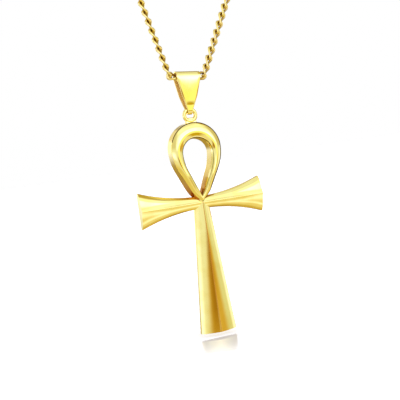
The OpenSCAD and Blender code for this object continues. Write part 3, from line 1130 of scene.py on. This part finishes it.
def studio_light():
    """A bright tent as the metal sees it, with its lights and dark screens. The camera sees plain white."""
    tent, white = (1.0, 1.08, 1.35, 1), (1, 1, 1, 1)
    world = bpy.data.worlds.new("studio")
    world.use_nodes = True
    tree = world.node_tree
    tree.nodes.clear()
    x, y, z = parts(tree, place_on(tree, AROUND))
    azimuth = x.maths("ARCTAN2", -y).maths("DEGREES")
    elevation = z.maths("ARCSINE").maths("DEGREES")
    light = node(tree, "ShaderNodeRGB", {}, {})
    light.socket.default_value = tent
    for _, west, east, low, high, soft_across, soft_up, tint in CARDS:
        inside = between(azimuth, west, east, soft_across) * between(elevation, low, high, soft_up)
        light = mixed(tree, inside, light, (*tint, 1))
    seen = node(tree, "ShaderNodeLightPath", {}, {})
    background = node(tree, "ShaderNodeBackground", {}, {"Color": mixed(tree, seen, light, white)})
    out = tree.nodes.new("ShaderNodeOutputWorld")
    tree.links.new(background.socket, out.inputs["Surface"])
    return world


def floor(look):
    """A pale floor that glows, polished enough to show the foot of the pendant faintly, with shade painted
    under the foot.
    """
    polished_r, matt_r = 5 * MM, 25 * MM
    dim, bright = (0.2, 0.2, 0.2, 1), (1, 1, 1, 1)
    bpy.ops.mesh.primitive_plane_add(size=8)
    piece = put(named("floor"), (0, 0, ankh_low.z - look.floor_gap))
    material, tree, inputs = new_material("floor")
    inputs["Base Color"].default_value = (0.66, 0.64, 0.6, 1)
    inputs["Emission Strength"].default_value = 0.6
    # Polished under the foot, where it glows less and so paints shade there; matt and glowing paler a little
    # way out
    foot = ((ankh_low.x + ankh_high.x) / 2, ankh_low.y, ankh_low.z)
    ends = [place_on(tree, ON_PIECE), foot]
    reach = node(tree, "ShaderNodeVectorMath", {"operation": "DISTANCE"}, ends, output=1)
    away = reach.ramp(polished_r, matt_r)
    tree.links.new((0.06 + 0.4 * away).socket, inputs["Roughness"])
    tree.links.new(mixed(tree, away, dim, bright).socket, inputs["Emission Color"])
    piece.data.materials.append(material)
    piece.visible_glossy = False
    return piece


def finish_piece(piece, materials, body, slot, *nodes):
    """Gives a finished piece its materials, its body and the solids that it stands for."""
    for index, material in enumerate(materials):
        if index < len(piece.data.materials):
            piece.data.materials[index] = material
        else:
            piece.data.materials.append(material)
    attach(piece, body)
    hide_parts(*nodes)


class PENDANT_OT_ankh(bpy.types.Operator):
    """Model the ankh"""

    bl_idname = "pendant.ankh"
    bl_label = "Ankh"

    def execute(self, context):
        materials = metals(context.scene.pendant_gold, "pendant_gold", "wall_gold", "crease_gold")
        finish_piece(ankh(context.scene.pendant_ankh), materials, "ankh", "polished_gold", "ankh_cross")
        return {"FINISHED"}


class PENDANT_OT_bail(bpy.types.Operator):
    """Model the bail"""

    bl_idname = "pendant.bail"
    bl_label = "Bail"

    def execute(self, context):
        materials = metals(context.scene.pendant_gold, "pendant_gold", "lining")
        finish_piece(bail(context.scene.pendant_bail), materials, "bail", "polished_gold", "bail")
        return {"FINISHED"}


class PENDANT_OT_chain(bpy.types.Operator):
    """Link both halves of the chain"""

    bl_idname = "pendant.chain"
    bl_label = "Chain"

    def execute(self, context):
        sizes = context.scene.pendant_chain
        upright = math.radians(90)
        left_low, right_high = ring_boxes["left"][0], ring_boxes["right"][1]
        left_end = Vector((left_low.x + sizes.ring_wire, 0, 0))
        right_end = Vector((right_high.x - sizes.ring_wire, 0, 0))
        left = half_way(math.pi - bail_lean, upright + sizes.left_angle, LEFT_STRAIGHT, LEFT_ROUTE, left_end)
        right = half_way(-bail_lean, upright - sizes.right_angle, RIGHT_STRAIGHT, RIGHT_ROUTE, right_end)
        # Each half turns this far over its first links, to meet the other in the barrel
        meeting, barrel_links = (sizes.left_roll + sizes.right_roll) / 2, 2.5
        # Its last links turn to hang in its end ring
        nape_links = 16
        halves = [
            ("left", left, sizes.left_roll, sizes.left_end_roll),
            ("right", right, sizes.right_roll, sizes.right_end_roll),
        ]
        for side, way, most, last in halves:

            def roll(i, count):
                """A link's turn, which changes in the barrel, where the halves meet, and near the nape."""
                inside = max(0, 1 - (i + 0.5) / barrel_links)
                near_end = max(0, (i - count + nape_links + 1) / nape_links)
                return most - meeting * inside + (last - most) * near_end

            links = half_chain(f"chain_{side}_links", sizes, way, roll)
            materials = metals(context.scene.pendant_gold, "link_gold")
            finish_piece(links, materials, "chain", "chain_gold", f"chain_{side}")
        return {"FINISHED"}


class PENDANT_OT_clasp(bpy.types.Operator):
    """Model the clasp and the two rings that it joins"""

    bl_idname = "pendant.clasp"
    bl_label = "Clasp and rings"

    def execute(self, context):
        sizes = context.scene.pendant_chain
        look = context.scene.pendant_gold
        finish_piece(clasp(sizes), metals(look, "pendant_gold"), "chain", "polished_gold", "clasp")
        for side in ring_boxes:
            materials = metals(look, "link_gold")
            finish_piece(end_ring(side, sizes), materials, "chain", "chain_gold", f"end_ring_{side}")
        return {"FINISHED"}


class PENDANT_OT_studio(bpy.types.Operator):
    """Set up the camera, the floor and the light"""

    bl_idname = "pendant.studio"
    bl_label = "Studio"

    def execute(self, context):
        look = context.scene.pendant_studio
        crossing = ankh_crossing(context.scene.pendant_ankh)
        a, e = look.azimuth, look.elevation
        back = Vector((math.sin(a) * math.cos(e), -math.cos(a) * math.cos(e), math.sin(e)))
        level = (-back).cross(Vector((0, 0, 1))).normalized()
        upright = level.cross(-back).normalized()
        right = math.cos(look.roll) * level + math.sin(look.roll) * upright
        up = -math.sin(look.roll) * level + math.cos(look.roll) * upright
        data = bpy.data.cameras.new("camera")
        data.lens = 70.2
        data.sensor_width = 36
        camera = bpy.data.objects.new("camera", data)
        context.scene.collection.objects.link(camera)
        place = crossing + back * look.distance + right * look.shift_right + up * look.shift_up
        camera.matrix_world = standing(place, right, up, back)
        data.clip_start = 1 * MM
        context.scene.camera = camera
        context.scene.view_settings.view_transform = "Standard"
        context.scene.world = studio_light()
        floor(look)
        return {"FINISHED"}


class PENDANT_PT_panel(bpy.types.Panel):
    """Lists the pendant's pieces"""

    bl_idname = "PENDANT_PT_panel"
    bl_label = "Pendant"
    bl_space_type = "VIEW_3D"
    bl_region_type = "UI"
    bl_category = "Pendant"

    def draw(self, context):
        for operator in OPERATORS:
            self.layout.operator(operator.bl_idname)


GROUPS = {
    "pendant_ankh": AnkhSizes,
    "pendant_bail": BailSizes,
    "pendant_chain": ChainSizes,
    "pendant_gold": GoldLook,
    "pendant_studio": StudioLook,
}
OPERATORS = [PENDANT_OT_studio, PENDANT_OT_ankh, PENDANT_OT_bail, PENDANT_OT_chain, PENDANT_OT_clasp]
CLASSES = [*GROUPS.values(), *OPERATORS, PENDANT_PT_panel]


def register():
    for made in CLASSES:
        bpy.utils.register_class(made)
    for name, group in GROUPS.items():
        setattr(bpy.types.Scene, name, PointerProperty(type=group))


def unregister():
    for name in GROUPS:
        delattr(bpy.types.Scene, name)
    for made in reversed(CLASSES):
        bpy.utils.unregister_class(made)


def main():
    register()
    bpy.ops.pendant.studio()
    bpy.ops.pendant.ankh()
    bpy.ops.pendant.bail()
    bpy.ops.pendant.chain()
    bpy.ops.pendant.clasp()


if __name__ == "__main__":
    main()
